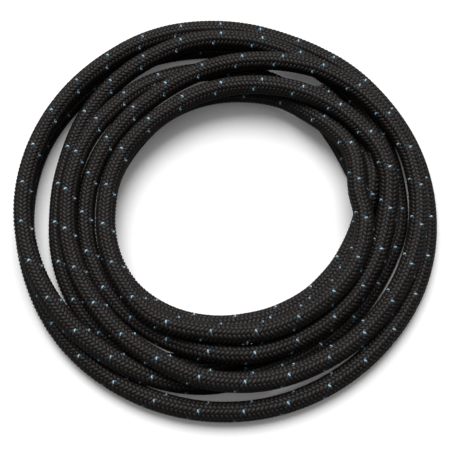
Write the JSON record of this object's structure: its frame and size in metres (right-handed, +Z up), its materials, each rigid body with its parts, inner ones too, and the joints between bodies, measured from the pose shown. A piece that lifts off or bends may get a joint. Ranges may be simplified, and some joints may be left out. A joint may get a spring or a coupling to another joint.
{
  "type": "braided hose",
  "caption": "Loose flat coil of black woven-braid fuel hose with pale blue tracer flecks, cut plain at both ends.",
  "frame": {"origin": "on the coil's axis, on the floor that the coil lies on", "axes": "+Z up along the coil's axis, +X to the right and +Y away from the viewer of the picture"},
  "size_m": [0.2928, 0.2928, 0.0259],
  "materials": {
    "braid": "black nylon braid with a dull sheen",
    "tracer": "pale blue tracer yarn in the braid",
    "liner": "plain black rubber inner tube, seen at the cut ends"
  },
  "bodies": {
    "root": {"hose_coil": "braid"}
  },
  "joints": []
}
